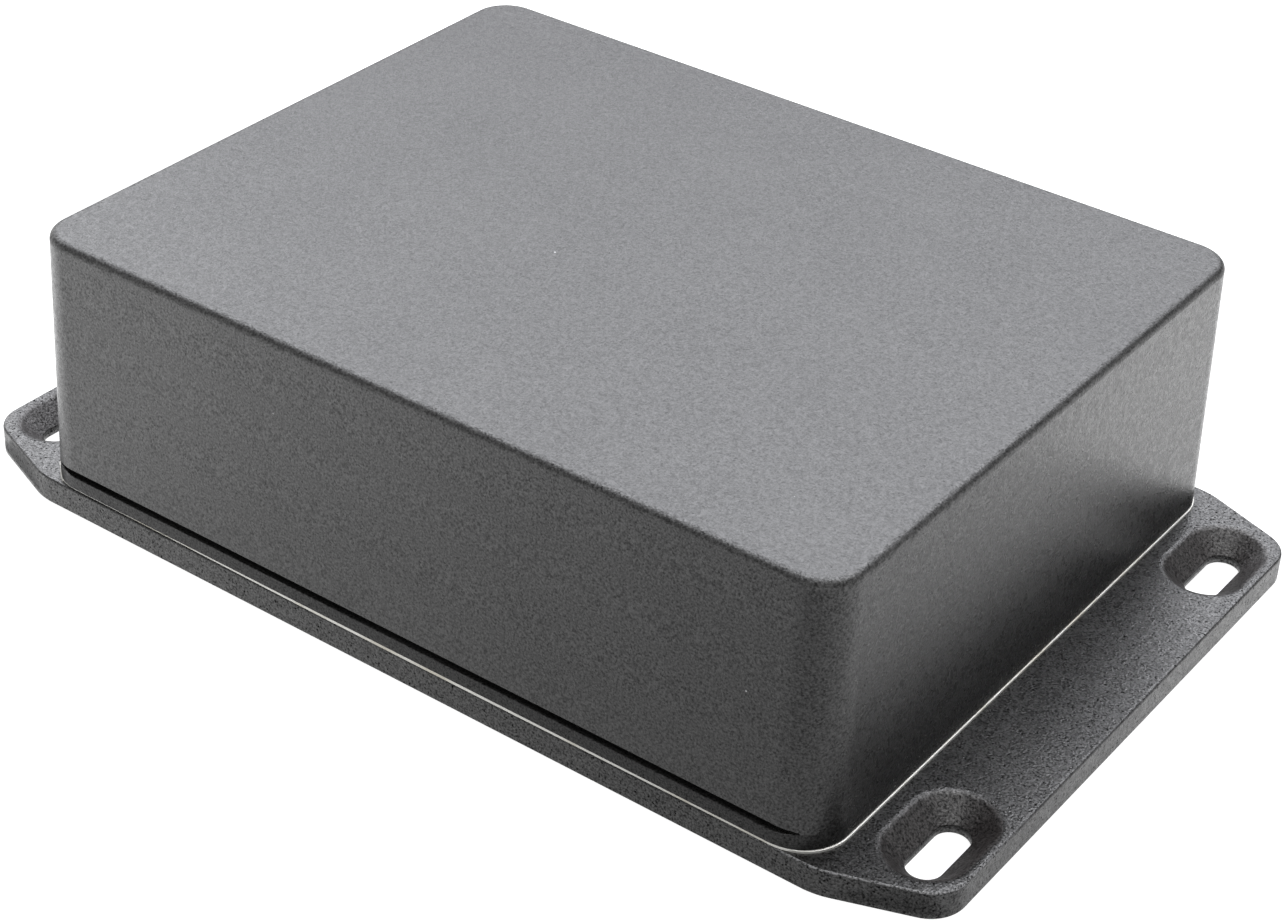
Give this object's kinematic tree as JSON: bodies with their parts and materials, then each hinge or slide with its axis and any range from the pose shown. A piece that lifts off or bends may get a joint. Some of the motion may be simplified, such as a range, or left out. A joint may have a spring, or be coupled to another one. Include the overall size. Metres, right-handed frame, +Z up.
{
  "type": "die cast enclosure",
  "caption": "Shallow die cast aluminium enclosure with drafted walls and rounded corners, closed by a flat lid whose end flanges carry dished mounting slots.",
  "frame": {"origin": "centre of the lid's flat underside, which is the face that the enclosure is mounted on", "axes": "+X along the length from flange to flange, +Y across the depth, +Z up through the closed top of the box"},
  "size_m": [0.148, 0.0942, 0.0393],
  "materials": {
    "box_coat": "dark grey fine-textured powder coat on die cast aluminium, satin",
    "lid_coat": "dark grey fine-textured powder coat on die cast aluminium, satin",
    "seal": "pale cream flat seal, matte",
    "screws": "zinc plated steel"
  },
  "bodies": {
    "root": {"box": "box_coat", "seal": "seal", "flanged_lid": "lid_coat", "lid_screws": "screws"}
  },
  "joints": []
}
